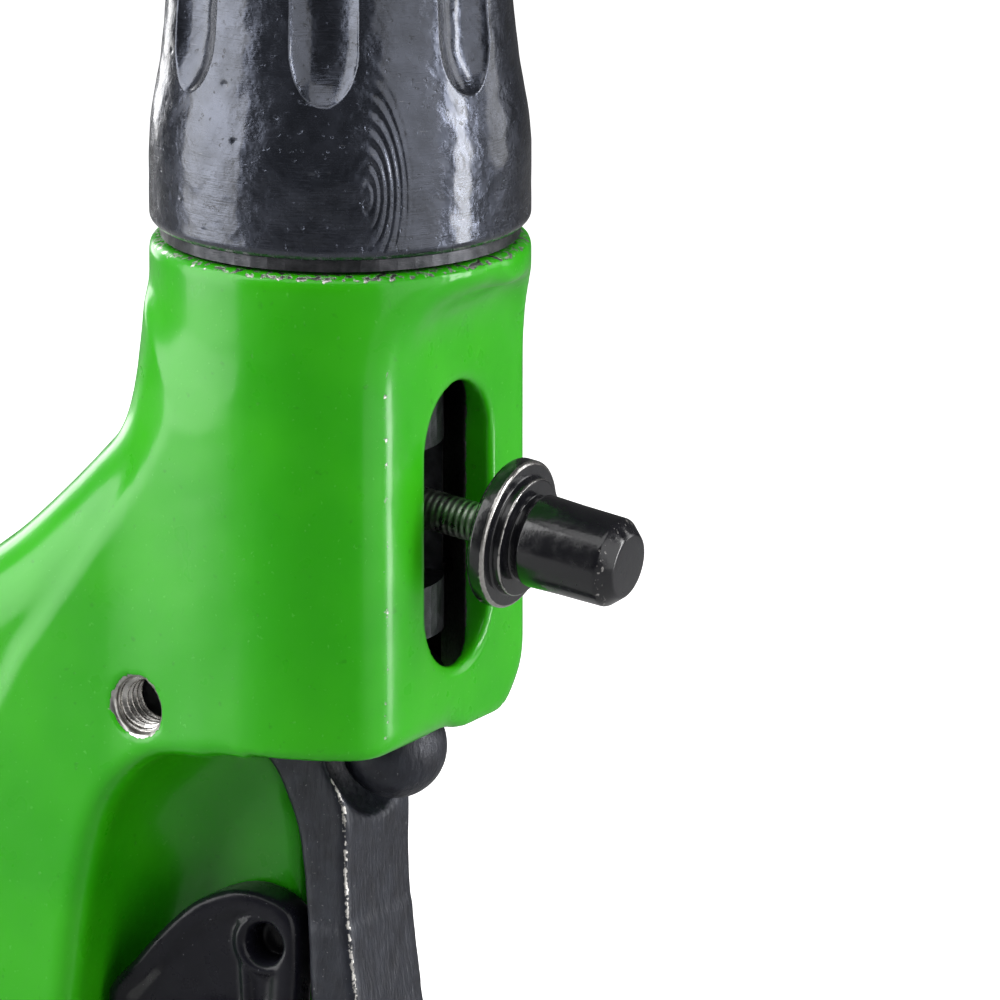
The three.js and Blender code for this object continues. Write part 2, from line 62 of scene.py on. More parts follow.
# ---------------------------------------------------------------- mesh making
def make_mesh(name, vertices, faces, body, replaced=(), matrix=None, attributes=None):
    """A smooth-shaded piece from millimetre vertices and quads, riding on a body."""
    mesh = bpy.data.meshes.new(name)
    points = np.asarray(vertices, float)
    if matrix is not None:
        points = points @ np.array(matrix.to_3x3()).T + np.array(matrix.translation)
    mesh.from_pydata(metres(points).tolist(), [], [tuple(f) for f in faces])
    mesh.polygons.foreach_set("use_smooth", [True] * len(mesh.polygons))
    for key, values in (attributes or {}).items():
        layer = mesh.attributes.new(key, "FLOAT", "POINT")
        layer.data.foreach_set("value", np.asarray(values, np.float32))
    mesh.update()
    piece = bpy.data.objects.new(name, mesh)
    bpy.context.scene.collection.objects.link(piece)
    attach(piece, body)
    if replaced:
        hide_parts(*replaced)
    return piece


def ring_faces(rows, columns):
    """Quads of a grid of points that closes on itself both ways."""
    at = np.arange(rows * columns).reshape(rows, columns)
    right = np.roll(at, -1, axis=1)
    up = np.roll(at, -1, axis=0)
    corner = np.roll(right, -1, axis=0)
    return np.stack([at, right, corner, up], -1).reshape(-1, 4)


def ring_points(radii, heights):
    """Points round +Z from a table of radii (rows by columns) and one height for each row."""
    columns = radii.shape[1]
    angle = np.arange(columns) * 2 * np.pi / columns
    x = radii * np.cos(angle)
    y = radii * np.sin(angle)
    z = np.broadcast_to(np.asarray(heights, float)[:, None], radii.shape)
    return np.stack([x, y, z], -1).reshape(-1, 3)


def lathe(profile, columns):
    """Vertices and faces of a solid of revolution from [radius, height] points, closed at both ends."""
    rows = len(profile)
    radii = np.repeat(np.array([p[0] for p in profile])[:, None], columns, 1)
    points = ring_points(radii, [p[1] for p in profile])
    faces = []
    for row in range(rows - 1):
        for column in range(columns):
            a = row * columns + column
            b = row * columns + (column + 1) % columns
            faces.append((a, b, b + columns, a + columns))
    low, high = rows * columns, rows * columns + 1
    top = (rows - 1) * columns
    for column in range(columns):
        after = (column + 1) % columns
        faces.append((low, after, column))
        faces.append((high, top + column, top + after))
    ends = [[0, 0, profile[0][1]], [0, 0, profile[-1][1]]]
    return np.vstack([points, ends]), faces


def rounded_profile(points, radius, steps=4):
    """The profile with each inner corner turned into a short curve."""
    out = [points[0]]
    for before, corner, after in zip(points, points[1:], points[2:]):
        b, c, a = (np.array(p, float) for p in (before, corner, after))
        reach = min(radius, np.linalg.norm(b - c) * 0.45, np.linalg.norm(a - c) * 0.45)
        start = c + (b - c) / max(np.linalg.norm(b - c), 1e-9) * reach
        end = c + (a - c) / max(np.linalg.norm(a - c), 1e-9) * reach
        for t in np.linspace(0, 1, steps + 1):
            out.append(tuple((1 - t) ** 2 * start + 2 * t * (1 - t) * c + t * t * end))
    out.append(points[-1])
    return out


# ---------------------------------------------------------------- distance fields
class Grid:
    """Sample points of a box, kept as three axes that broadcast against each other."""

    def __init__(self, low, high, step):
        self.low = np.array(low, float)
        self.step = step
        axes = [np.arange(a, b + step, step, dtype=np.float32) for a, b in zip(low, high)]
        self.x = axes[0][:, None, None]
        self.y = axes[1][None, :, None]
        self.z = axes[2][None, None, :]

    def plan(self, points):
        """Signed distance to a closed outline in the XZ plane, the same for every y."""
        return polygon(points, self.x[:, 0, :], self.z[:, 0, :])[:, None, :]

    def disc(self, x, z):
        """Distance from an axis along Y through (x, z)."""
        return np.hypot(self.x - x, self.z - z)


def polygon(points, u, v):
    """Signed distance to a closed outline, negative inside it."""
    p = np.array(points, np.float32)
    q = np.roll(p, -1, axis=0)
    u, v = np.broadcast_arrays(u, v)
    nearest = np.full(u.shape, 1e9, np.float32)
    inside = np.zeros(u.shape, bool)
    for (ax, az), (bx, bz) in zip(p, q):
        ex, ez = bx - ax, bz - az
        length = ex * ex + ez * ez
        if length < 1e-12:
            continue
        t = np.clip(((u - ax) * ex + (v - az) * ez) / length, 0, 1)
        nearest = np.minimum(nearest, (u - ax - t * ex) ** 2 + (v - az - t * ez) ** 2)
        crosses = ((az <= v) & (bz > v)) | ((bz <= v) & (az > v))
        if abs(ez) > 1e-9:
            inside ^= crosses & (u < ax + (v - az) * ex / ez)
    return np.where(inside, -1, 1) * np.sqrt(nearest)


def curve(points, samples=8):
    """A Catmull-Rom curve through given points."""
    p = np.array([points[0], *points, points[-1]], float)
    out = []
    for a, b, c, d in zip(p, p[1:], p[2:], p[3:]):
        for t in np.arange(samples) / samples:
            square = (2 * a - 5 * b + 4 * c - d) * t**2
            cube = (3 * b - a - 3 * c + d) * t**3
            out.append(0.5 * (2 * b + (c - a) * t + square + cube))
    out.append(p[-1])
    return [tuple(q) for q in out]


def bar(stations):
    """Outline of a bar from [x, z, half depth] stations along it."""
    line = np.array(curve([s[:3] for s in stations], 6))
    tangent = np.gradient(line[:, :2], axis=0)
    tangent /= np.linalg.norm(tangent, axis=1)[:, None]
    normal = np.stack([-tangent[:, 1], tangent[:, 0]], 1)
    left = line[:, :2] + normal * line[:, 2:]
    right = line[:, :2] - normal * line[:, 2:]
    return [*map(tuple, left), *map(tuple, right[::-1])]


def join(a, b, k):
    """Union of two solids with a fillet of about k."""
    h = np.clip(0.5 + 0.5 * (b - a) / k, 0, 1)
    return b + (a - b) * h - k * h * (1 - h)


def both(a, b, k):
    """Intersection with its edge rounded by about k."""
    return -join(-a, -b, k)


def without(a, b, k):
    """One solid less another, with the new edge rounded by about k."""
    return both(a, -b, k)


def slab(outline, across, r):
    """An outline's distance and a thickness distance joined into a plate with edges of radius r."""
    u = outline + r
    v = across + r
    return np.hypot(np.maximum(u, 0), np.maximum(v, 0)) + np.minimum(np.maximum(u, v), 0) - r


def ramp(value, low, high):
    """A smooth step from 0 at low to 1 at high."""
    t = np.clip((value - low) / (high - low), 0, 1)
    return t * t * (3 - 2 * t)


WAVE_COUNT = 5


def waves(x, y, z, length, seed):
    """A smooth random height from -1 to 1, with features about length across."""
    rng = np.random.default_rng(seed)
    total = 0
    for _ in range(WAVE_COUNT):
        direction = rng.normal(size=3)
        direction /= np.linalg.norm(direction)
        k = direction * 2 * np.pi / (length * rng.uniform(0.7, 1.5))
        total = total + np.sin(k[0] * x + k[1] * y + k[2] * z + rng.uniform(0, 2 * np.pi))
    return total / WAVE_COUNT


CORNERS = [(i, j, k) for i in (0, 1) for j in (0, 1) for k in (0, 1)]


def skin(field, grid):
    """The zero surface of a field as vertices and quads, one vertex to each cell that it crosses."""
    inside = field < 0
    shape = tuple(n - 1 for n in field.shape)
    count = np.zeros(shape, np.int8)
    for i, j, k in CORNERS:
        count += inside[i : i + shape[0], j : j + shape[1], k : k + shape[2]]
    active = (count > 0) & (count < 8)
    cells = np.argwhere(active)
    index = np.full(shape, -1, np.int64)
    index[active] = np.arange(len(cells))
    value = {c: field[tuple((cells + c).T)] for c in CORNERS}
    total = np.zeros((len(cells), 3))
    hits = np.zeros(len(cells))
    for axis in range(3):
        for start in (c for c in CORNERS if c[axis] == 0):
            end = tuple(1 if a == axis else n for a, n in enumerate(start))
            a, b = value[start], value[end]
            crossed = (a < 0) != (b < 0)
            t = a[crossed] / (a[crossed] - b[crossed])
            point = np.array(start, float) + np.zeros((crossed.sum(), 3))
            point[:, axis] += t
            total[crossed] += point
            hits[crossed] += 1
    vertices = grid.low + (cells + total / hits[:, None]) * grid.step
    faces = []
    for axis in range(3):
        b, c = (axis + 1) % 3, (axis + 2) % 3
        low = [slice(None)] * 3
        high = [slice(None)] * 3
        low[axis], high[axis] = slice(0, -1), slice(1, None)
        changed = inside[tuple(low)] != inside[tuple(high)]
        edges = np.argwhere(changed)
        kept = (edges[:, b] > 0) & (edges[:, c] > 0)
        kept &= (edges[:, b] < field.shape[b] - 1) & (edges[:, c] < field.shape[c] - 1)
        edges = edges[kept]
        ring = []
        for db, dc in ((-1, -1), (0, -1), (0, 0), (-1, 0)):
            cell = edges.copy()
            cell[:, b] += db
            cell[:, c] += dc
            ring.append(index[tuple(cell.T)])
        quads = np.stack(ring, 1)
        outward = inside[tuple(edges.T)]
        quads[~outward] = quads[~outward][:, ::-1]
        faces.append(quads)
    return vertices, np.vstack(faces)


# ---------------------------------------------------------------- dimensions shared by the pieces
HEAD_R = 16.1
HEAD_BOTTOM = -42.2
HEAD_EDGE = 1.2
BORE_R = 10.3
FLAT_X = 11.5
FLAT_HALF = 12.6
FLAT_TOP = -4.2
FLAT_CORNER = 8
FLAT_FLARE = 1.4
FLAT_FLARE_ROUNDING = 5
SLOT_R = 5.6
SLOT_FROM_X = 5
SLOT_TOP = -11.5
SLOT_BOTTOM = -36.1
ARM_HALF = 13
SPINE_ROUNDING = 7
PLATE_ROUNDING = 0.8
CORE_HALF = 8
WEB_HALF = 2.4
CAVITY_HALF = 6
PIVOT = (-12, -39.5)
EYE_R = 5.2
LEVER_HALF = 5.6
TOE = (5.15, -43.9)
TOE_R = 4.5
TOE_RELIEF_R = 6.4
TOE_PIN = (4.5, -39.6)
TOE_PIN_HOLE_R = 1.8
TONGUE_HALF = 3.4
LOBE_R = 3.4
LOBE_HALF = 5.2
PIVOT_HOLE_R = 3.05
BOLT_HOLE_R = 3.1
COUNTERBORE_R = 5.2
COUNTERBORE_FLOOR = 9.8
TAPPED_R = 2.45
THREAD_PITCH = 0.8
SPARE_SEAT_R = 2.6
SPARE_OPENING_R = 2.9
SCREW_HOLE_R = 1.6
ARM_BOTTOM = -109
WALL_BOTTOM = -105

HANDLE_CORE = [[-24.8, -107, 9], [-25.4, -114, 8.2], [-27.5, -135, 8], [-30.5, -160, 8], [-33, -184, 7.5]]
HANDLE_GRIP = [[-25.4, -111, 11.5], [-27.2, -130, 12], [-30.3, -158, 12], [-33.3, -186, 11]]
LEVER_LINE = [
    [2.35, -66, 2.35], [4.2, -84, 4.2], [5.4, -104, 5.4], [6, -130, 6], [5.2, -158, 6], [3, -184, 5.6],
]
LEVER_NECK = [1.9, -59, 2]
LEVER_FRONT = [[4.7, -66], [3.9, -59.6], [3.6, -54.2], [3.5, -48.6], [1.4, -43.6]]
LEVER_GRIP = [[5.6, -111, 8.4], [6, -132, 9.2], [5.2, -158, 9.2], [2.8, -186, 8.4]]
POCKET_WALL = [
    [-1, -41.7], [-5.8, -41.9], [-9.7, -42.9], [-12.4, -44.9], [-14.9, -47.7], [-16.3, -50.4],
    [-17.2, -53.6], [-18.2, -58.4], [-18.9, -63.6], [-19.4, -68], [-20, -78], [-20.2, -92],
    [-18.8, -100.5], [-13, WALL_BOTTOM],
]
INSERT = [
    *curve([
        [-18.6, -70], [-18.5, -66.7], [-16.2, -63.9], [-13.6, -60.9], [-10.9, -58.4], [-8.55, -57.2],
        [-6.6, -56.7], [-4.6, -56.8], [-2.65, -57.5], [-1.35, -59.1], [-1.2, -63],
    ]),
    *curve([[-1.5, -67], [-2.8, -76], [-6.2, -87], [-9.4, -95], [-12.4, -101]]),
    *curve([[-15.6, -102.4], [-17.8, -98.6], [-18.9, -92], [-18.9, -80]]),
]
SPARES = [(-12.63, -73), (-12.36, -82), (-12.09, -91)]
INSERT_SCREW = (-14.6, -99.2)
INSERT_SOCKET = (-4.1, -61.2)
INSERT_SOCKET_R = 1.75


def pocket(g, past_web):
    """The hollow beside the web, for the distance past_web by which a point lies inside the web."""
    wall = g.plan([*curve(POCKET_WALL), (14, WALL_BOTTOM), (14, -30), (-1, -30)])
    hollow = 2.5 + 5 * ramp(g.z, -67, -52)
    return slab(wall, past_web, hollow)


# ---------------------------------------------------------------- cast body
def arm_field(g):
    """The shoulder and the arm of the fixed handle, with a pocket on both sides of its web."""
    back = curve([
        [-12.5, -6], [-14.2, -12], [-16, -15.8], [-18.8, -19], [-22.8, -23.1], [-27, -27], [-32.7, -31.6],
        [-37.2, -37.2], [-39.4, -45], [-39.4, -56], [-37.6, -76], [-36, -96], [-35.4, ARM_BOTTOM],
    ])
    inside = [(-15, ARM_BOTTOM), (-9, -80), (-6, -58), (-6, -42), (2, -30), (4, -6)]
    across = abs(g.y) - ARM_HALF
    spine = slab(g.plan([*back, *inside]), across, SPINE_ROUNDING)
    front = curve([
        [-14, ARM_BOTTOM], [-10.8, -96], [-7, -84], [-3.4, -74], [-2.2, -64], [-2.4, -52.5], [-3.4, -48.5],
        [-5, -44.8],
    ])
    behind = [
        (-4.4, -25), (-4, -14), (-8, -14), (-24, -36.5), (-29, -46), (-28, -80), (-26, ARM_BOTTOM),
    ]
    plate = slab(g.plan([*front, *behind]), across, PLATE_ROUNDING)
    arm = join(spine, plate, 1.5)
    return without(arm, pocket(g, WEB_HALF - abs(g.y)), 1.8)


def flat_field(g):
    """What is cut away to leave the flat on the head, under an arch with round shoulders."""
    arch_y = abs(g.y) - FLAT_HALF + FLAT_CORNER
    arch_z = g.z - FLAT_TOP + FLAT_CORNER
    beyond = np.hypot(np.maximum(arch_y, 0), np.maximum(arch_z, 0))
    arch = beyond + np.minimum(np.maximum(arch_y, arch_z), 0)
    return both(arch - FLAT_CORNER - FLAT_FLARE, FLAT_X - g.x, FLAT_FLARE_ROUNDING)


def hole_fields(g):
    """The cheeks' cavity for the lever, then the two halves of the pivot's hole."""
    from_pivot = g.disc(*PIVOT)
    round_eye = np.maximum(abs(g.y) - CAVITY_HALF, from_pivot - EYE_R - 0.5)
    block = np.maximum(abs(g.x + 5) - 7, abs(g.z - PIVOT[1] - 0.75) - EYE_R - 1.25)
    cavity = np.minimum(round_eye, np.maximum(abs(g.y) - CAVITY_HALF, block))
    near = np.maximum(from_pivot - TAPPED_R, g.y)
    far = np.maximum(from_pivot - BOLT_HOLE_R, -g.y)
    counterbore = np.maximum(from_pivot - COUNTERBORE_R, COUNTERBORE_FLOOR - g.y)
    return cavity, near, np.minimum(far, counterbore)


def body_field(g):
    radial = np.hypot(g.x, g.y)
    far_corner = HEAD_EDGE + 5 * ramp(g.y, 3, 11) * ramp(g.x, 2, 9)
    head = both(radial - HEAD_R, HEAD_BOTTOM - g.z, far_corner)
    head = both(head, g.z, 1.0)
    core = slab(g.plan(bar(HANDLE_CORE)), abs(g.y) - CORE_HALF, 2)
    shoulder = 1.5 + 3 * ramp(abs(g.y), 5, 10)
    body = join(join(head, arm_field(g), shoulder), core, 3)
    body = both(body, HEAD_BOTTOM - g.z - 200 * ramp(-g.x, 0, 5), HEAD_EDGE)
    body = without(body, flat_field(g), 3 - 2.1 * ramp(g.y, -2, 2))
    half_length = (SLOT_TOP - SLOT_BOTTOM) / 2 - SLOT_R
    along = np.maximum(abs(g.z - (SLOT_TOP + SLOT_BOTTOM) / 2) - half_length, 0)
    slot = np.maximum(np.hypot(g.y, along) - SLOT_R, SLOT_FROM_X - g.x)
    body = without(body, slot, 0.7)
    body = without(body, np.maximum(radial - BORE_R, HEAD_BOTTOM - 1 - g.z), 0.4)
    body = body + 0.02 * waves(g.x, g.y, g.z, 13, 3) + 0.008 * waves(g.x, g.y, g.z, 4.5, 4)
    cavity, near_hole, far_hole = hole_fields(g)
    body = without(body, cavity, 0.6)
    body = without(body, near_hole, 0.35)
    body = without(body, far_hole, 0.35)
    for x, z in SPARES:
        body = np.maximum(body, -np.maximum(g.disc(x, z) - SPARE_SEAT_R, abs(g.y) - 4))
    return np.maximum(body, -np.maximum(g.disc(*INSERT_SCREW) - SCREW_HOLE_R, abs(g.y) - 4))


def cast_body():
    grid = Grid((-41.2, -17.2, -185.6), (17.6, 17.2, 1.2), 0.4)
    vertices, faces = skin(body_field(grid), grid)
    x, y, z = vertices.T
    radial = np.hypot(x, y)
    from_pivot = np.hypot(x - PIVOT[0], z - PIVOT[1])
    bore = ramp(-radial, -BORE_R - 0.45, -BORE_R - 0.1) * (z > HEAD_BOTTOM - 0.5)
    hole = 0.9 * ramp(-from_pivot, -3, -2.55) * (abs(y) > CAVITY_HALF)
    hole += 0.5 * ramp(-np.hypot(x - PIVOT[0] + 2.9, z - PIVOT[1] + 0.3), -1.1, -0.2) * (y < -CAVITY_HALF)
    crease = 0.42 * ramp(-abs(abs(y) - 11.2), -0.9, 0) * (x > 10.6) * (z < -8)
    rim = 0.46 * ramp(z, -0.9, -0.3) * (radial > 14)
    bare = np.maximum.reduce([bore, hole, crease, rim])
    return make_mesh(
        "cast_body", vertices, faces, "body", ["body_casting"], attributes={"bare": bare}
    )


def tapped_hole():
    """The cut thread in the near cheek, as a lining with a helical groove."""
    columns = 72
    rows = 120
    inner = np.linspace(-12.75, -6.1, rows)
    angle = np.arange(columns) / columns
    turn = inner[:, None] / THREAD_PITCH + angle[None, :]
    groove = np.abs((turn % 1) - 0.5) * 2
    radii = 1.95 + 0.4 * ramp(groove, 0.08, 0.92)
    mouth = ramp(-inner, 12.2, 12.75)[:, None] * 0.4
    radii = np.minimum(radii + mouth, TAPPED_R - 0.04)
    wall = np.full((2, columns), TAPPED_R + 0.1)
    points = ring_points(np.vstack([radii, wall]), [*inner, inner[-1], inner[0]])
    to_y = Matrix(((1, 0, 0, PIVOT[0]), (0, 0, 1, 0), (0, -1, 0, PIVOT[1]), (0, 0, 0, 1)))
    faces = ring_faces(rows + 2, columns)
    return make_mesh("tapped_hole", points, faces, "body", matrix=to_y)


# ---------------------------------------------------------------- forged lever
def lever_field(g):
    back = curve([
        [-15.6, -43.4], [-12, -44.7], [-7.6, -44.3], [-4.3, -45], [-2.2, -48.4], [-1.1, -52], [-0.5, -58],
        [0, -66],
    ])
    front = curve([*LEVER_FRONT, [0.6, -40]])
    side = abs(g.y) - LEVER_HALF
    shank = slab(g.plan([*back, *front, (-6, -35.4), (-12, -34.3)]), side, 0.6)
    from_toe = np.sqrt((g.x - TOE[0]) ** 2 + g.y**2 + (g.z - TOE[1]) ** 2)
    shank = without(shank, from_toe - TOE_RELIEF_R, 0.5)
    arm = slab(g.plan(bar([LEVER_NECK, *LEVER_LINE])), side, 0.7)
    eye = slab(g.disc(*PIVOT) - EYE_R, side, 0.5)
    tongue_outline = [(-8, -42.8), (TOE[0], -45), (7.4, -42), (TOE_PIN[0], -36.4), (-8, -35.6)]
    tongue = slab(g.plan(tongue_outline), abs(g.y) - TONGUE_HALF, 0.8)
    lobe = slab(g.disc(*TOE_PIN) - LOBE_R, abs(g.y) - LOBE_HALF, 0.5)
    lever = join(join(shank, arm, 0.4), eye, 0.8)
    lever = join(join(lever, tongue, 0.6), np.minimum(lobe, from_toe - TOE_R), 0.6)
    lever = lever + 0.02 * waves(g.x, g.y, g.z, 3.2, 9) + 0.03 * waves(g.x, g.y, g.z, 11, 10)
    holes = np.minimum(g.disc(*PIVOT) - PIVOT_HOLE_R, g.disc(*TOE_PIN) - TOE_PIN_HOLE_R)
    return without(lever, holes, 0.3)


def forged_lever():
    grid = Grid((-18.4, -6.8, -185.4), (13.2, 6.8, -33), 0.34)
    vertices, faces = skin(lever_field(grid), grid)
    x, y, z = vertices.T
    edge_line = [[8.6, -186], [11.2, -110], [8.4, -84], *LEVER_FRONT]
    front = np.interp(z, [p[1] for p in edge_line], [p[0] for p in edge_line])
    corner = np.hypot(x - front + 0.2, abs(y) - LEVER_HALF + 0.2)
    edge = 0.55 * ramp(-corner, -0.42, -0.1)
    return make_mesh(
        "forged_lever", vertices, faces, "lever", ["lever"], attributes={"bare": edge}
    )


# ---------------------------------------------------------------- handle inserts and grips
def insert_field(g, side):
    y = g.y * side
    outline = g.plan(INSERT)
    tilted = 5.42 - 0.1176 * g.x
    level = tilted + (7.2 - tilted) * ramp(-g.z, 66, 71)
    raised = 0.6 * ramp(outline, -2.9, -1.3)
    rib_ends = ramp(-g.z, 58, 60) * ramp(g.z, -69, -66)
    rib = 0.4 * ramp(-abs(g.x + 6.1 + 0.05 * (g.z + 60)), -0.75, -0.2) * rib_ends
    socket_at = g.disc(*INSERT_SOCKET)
    collar = 0.55 * ramp(-abs(socket_at - 2.35), -0.9, 0)
    height = level + np.maximum.reduce([raised + 0 * g.y, rib + 0 * g.y, collar + 0 * g.y])
    solid = slab(outline, y - height, 0.7)
    solid = both(solid, WEB_HALF + 0.3 - y, 0.3)
    solid = without(solid, np.maximum(socket_at - INSERT_SOCKET_R, level - 2.6 - y), 0.45)
    solid = both(solid, pocket(g, WEB_HALF - y) + 0.25, 0.3)
    holes = g.disc(*INSERT_SCREW) - SCREW_HOLE_R
    if side < 0:
        for x, z in SPARES:
            holes = np.minimum(holes, g.disc(x, z) - SPARE_OPENING_R)
    return without(solid, holes, 0.4)


def handle_insert(name, side, node):
    sides = (-9.6, -2.2) if side < 0 else (2.2, 9.6)
    grid = Grid((-20.6, sides[0], -104), (0, sides[1], -55.6), 0.25)
    vertices, faces = skin(insert_field(grid, side), grid)
    return make_mesh(name, vertices, faces, "body", [node])


HANDLE_GRIP_HALF = 13.5
LEVER_GRIP_HALF = 10.5
RIB_PITCH = 6
RIB_DEPTH = 0.75
GRIP_ROUNDING = 0.6
GRIP_BOTTOM = -185.6


def grip_field(g, line, half, core, core_half):
    outer = slab(g.plan(bar(line)), abs(g.y) - half, GRIP_ROUNDING * half)
    outer = both(outer, GRIP_BOTTOM - g.z, 4)
    phase = (g.z % RIB_PITCH) - RIB_PITCH / 2
    along = ramp(g.z, -180, -176) * ramp(-g.z, 117, 121)
    groove = RIB_DEPTH * np.exp(-((phase / 0.75) ** 2)) * along
    collar = 0.9 * np.exp(-(((g.z + 114.6) / 0.5) ** 2))
    outer = outer + groove + collar
    sunk = [[x, z, h + 0.3] for x, z, h in core]
    hollow = np.maximum(g.plan(bar(sunk)), abs(g.y) - core_half - 0.3)
    return without(outer, hollow, 0.3)


def grip(name, line, half, core, core_half, body, node):
    low = min(x - h for x, _, h in line) - 1.5
    high = max(x + h for x, _, h in line) + 1.5
    grid = Grid((low, -half - 1, -187), (high, half + 1, -110), 0.5)
    vertices, faces = skin(grip_field(grid, line, half, core, core_half), grid)
    return make_mesh(name, vertices, faces, body, [node])


# ---------------------------------------------------------------- nose sleeve
SLEEVE = [
    [15.6, 1.4], [16.1, 1.9], [16.1, 8], [15.9, 10.7], [15.1, 15], [14.6, 20.2], [14, 28], [13.2, 34],
    [11.6, 38.6], [8.8, 42],
]
SLEEVE_LINING = [
    [8, 42], [5, 42], [4.7, 41.7], [4.7, 36.2], [5, 36], [9, 36], [9, -7.7], [9.3, -8], [9.7, -8],
    [10, -7.7], [10, 1.6],
]
SLEEVE_COLUMNS = 900
SLEEVE_SPACING = 0.13
FULL_TURN = 2 * np.pi
FLUTES = 7
FLUTE_PHASE = math.radians(-14.2)
FLUTE_R = 3.3
FLUTE_AT = 17.3
FLUTE_TILT = math.tan(math.radians(2.6))
FLUTE_BOTTOM = 14.3
FLUTE_NOSE = 5
RIPPLE = (math.radians(-52), 6.8)
RIPPLE_LENGTH = 0.56
RIPPLE_REACH = 3.3
RIPPLE_HEIGHT = 0.075


def sleeve_radius(radius, angle, z):
    """The turned skin's radius where the flutes and the casting's flow ripples have changed it."""
    cutter = FLUTE_R * np.sqrt(np.clip(1 - (1 - (z - FLUTE_BOTTOM) / FLUTE_NOSE).clip(0, 1) ** 2, 0, 1))
    cutter = np.where(z < FLUTE_BOTTOM, 0, cutter) * ramp(-z, -39, -36)
    step = FULL_TURN / FLUTES
    turn = (angle - FLUTE_PHASE + step / 2) % step - step / 2
    centre = FLUTE_AT - FLUTE_TILT * z
    across = centre * np.sin(turn)
    bite = centre * np.cos(turn) - np.sqrt(np.clip(cutter**2 - across**2, 0, None))
    bite = np.where(abs(across) < cutter, bite, radius + abs(across) - cutter + 2)
    fluted = join(radius, bite, 1.8)
    across_ripple = (((angle - RIPPLE[0] + np.pi) % FULL_TURN) - np.pi) * HEAD_R
    up_ripple = (z - RIPPLE[1]) * 0.36
    away = np.hypot(across_ripple, up_ripple) + 0.25 * waves(across_ripple, up_ripple, 0 * z, 5, 21)
    fade = np.exp(-((away / RIPPLE_REACH) ** 4)) * (0.12 + 0.88 * ramp(across_ripple, -0.8, 1.2))
    ripple = RIPPLE_HEIGHT * np.sin(2 * np.pi * away / RIPPLE_LENGTH) * fade
    x, y = radius * np.cos(angle), radius * np.sin(angle)
    casting = 0.05 * waves(x, y, z, 7, 22) + 0.03 * waves(x, y, z * 1.6, 2.2, 23)
    pits = 0
    for pit_angle, pit_z, size in PITS:
        turned = (((angle - pit_angle + np.pi) % FULL_TURN) - np.pi) * HEAD_R
        pits = pits + 0.3 * size * np.exp(-((turned / size) ** 2) - ((z - pit_z) / (0.6 * size)) ** 2)
    return fluted + ripple + casting - pits


def scattered_pits():
    rng = np.random.default_rng(5)
    found = [(math.radians(-100), 15.5, 0.45), (math.radians(-94), 11, 0.4)]
    for _ in range(38):
        found.append((rng.uniform(0, 2 * np.pi), rng.uniform(3, 40), rng.uniform(0.12, 0.3)))
    return found


PITS = scattered_pits()


def nose_sleeve():
    skin_line = rounded_profile(SLEEVE, 0.9, 5)
    lengths = np.linalg.norm(np.diff(np.array(skin_line), axis=0), axis=1)
    arc = np.concatenate([[0], np.cumsum(lengths)])
    even = np.arange(0, arc[-1], SLEEVE_SPACING)
    radius = np.interp(even, arc, [p[0] for p in skin_line])[:, None]
    height = np.interp(even, arc, [p[1] for p in skin_line])[:, None]
    angle = (np.arange(SLEEVE_COLUMNS) * 2 * np.pi / SLEEVE_COLUMNS)[None, :]
    blend = ramp(height, 1.7, 2.6)
    moved = sleeve_radius(radius + 0 * angle, angle + 0 * radius, height + 0 * angle)
    outer = radius * (1 - blend) + moved * blend
    outer = np.minimum(outer, HEAD_R)
    lining = np.repeat(np.array([p[0] for p in SLEEVE_LINING])[:, None], SLEEVE_COLUMNS, 1)
    radii = np.vstack([outer, lining])
    points = ring_points(radii, [*height[:, 0], *(p[1] for p in SLEEVE_LINING)])
    faces = ring_faces(len(radii), SLEEVE_COLUMNS)
    return make_mesh("fluted_sleeve", points, faces, "sleeve", ["nose_sleeve"])


# ---------------------------------------------------------------- finger pin
PIN_DROOP = 7.75
PIN_AT = (17.3, 0, -24)


def pin_matrix():
    turn = Matrix.Rotation(math.radians(90 + PIN_DROOP), 4, "Y")
    return Matrix.Translation(PIN_AT) @ turn


def pin_knob():
    profile = [
        [0.4, -1.7], [6.1, -1.7], [6.42, -1.4], [6.42, -0.2], [6.2, 0], [5.1, 0], [5.1, 0.9], [3.6, 0.9],
        [3.6, 1.6], [4, 1.8], [3.9, 5], [3.85, 9.2], [2.75, 10.5], [0.4, 10.5],
    ]
    line = rounded_profile(profile, 0.22)
    vertices, faces = lathe(line, 128)
    radius = np.hypot(vertices[:, 0], vertices[:, 1])
    height = vertices[:, 2]
    flange_edge = ramp(radius, 5.95, 6.3) * ramp(height, -0.5, -0.1)
    step_edge = 0.7 * ramp(-abs(radius - 5.1), -0.25, 0) * ramp(height, 0.6, 0.8)
    tip_edge = 0.5 * ramp(-abs(height - 9.8), -1.1, -0.2) * ramp(radius, 2.6, 3)
    back_edge = 0.5 * ramp(radius, 6.15, 6.4) * ramp(-height, 1.2, 1.4)
    bare = np.maximum.reduce([flange_edge, step_edge, tip_edge, back_edge])
    return make_mesh(
        "pin_knob_turned", vertices, faces, "finger_pin", ["pin_knob"],
        matrix=pin_matrix(), attributes={"bare": bare},
    )


def pin_stem():
    rings = []
    for index in range(60):
        along = -10 + index * 0.14
        rings.append([1.7 - 0.05 * (0.5 + 0.5 * math.sin(index * 1.5)), along])
    profile = [[0.3, -10.2], [1.4, -10.2], *rings, [1.7, -1.4], [1.2, -1.2]]
    vertices, faces = lathe(profile, 48)
    return make_mesh(
        "pin_stem_turned", vertices, faces, "finger_pin", ["pin_stem"], matrix=pin_matrix()
    )


